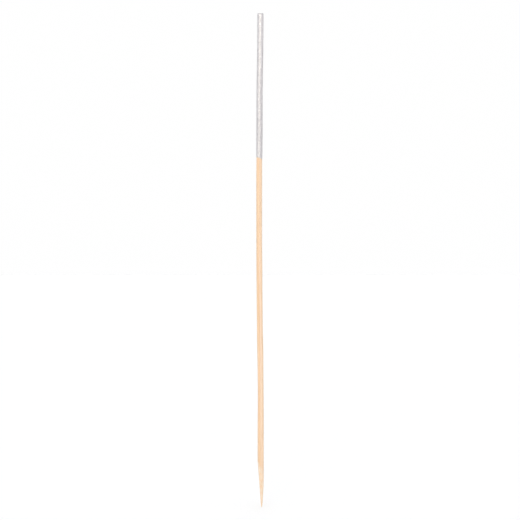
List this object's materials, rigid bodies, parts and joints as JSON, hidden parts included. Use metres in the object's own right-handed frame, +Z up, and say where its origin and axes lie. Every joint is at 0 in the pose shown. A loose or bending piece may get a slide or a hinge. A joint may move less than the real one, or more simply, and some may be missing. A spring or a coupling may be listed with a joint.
{
  "type": "bamboo pick",
  "caption": "Slim round bamboo stick, ground to a point at one end and dipped in silver glitter lacquer at the other.",
  "frame": {"origin": "the tip of the ground point", "axes": "+Z runs up the stick from the point to the coated blunt end; the stick bows towards -X; Y is the direction in which it is straight"},
  "size_m": [0.0038, 0.0032, 0.254],
  "materials": {
    "bamboo": "satin",
    "silver_lacquer": "satin",
    "silver_glitter": "gloss"
  },
  "bodies": {
    "root": {"bamboo_stick": "bamboo", "silver_lacquer_coat": "silver_lacquer", "glitter_layer": "silver_glitter"}
  },
  "joints": []
}
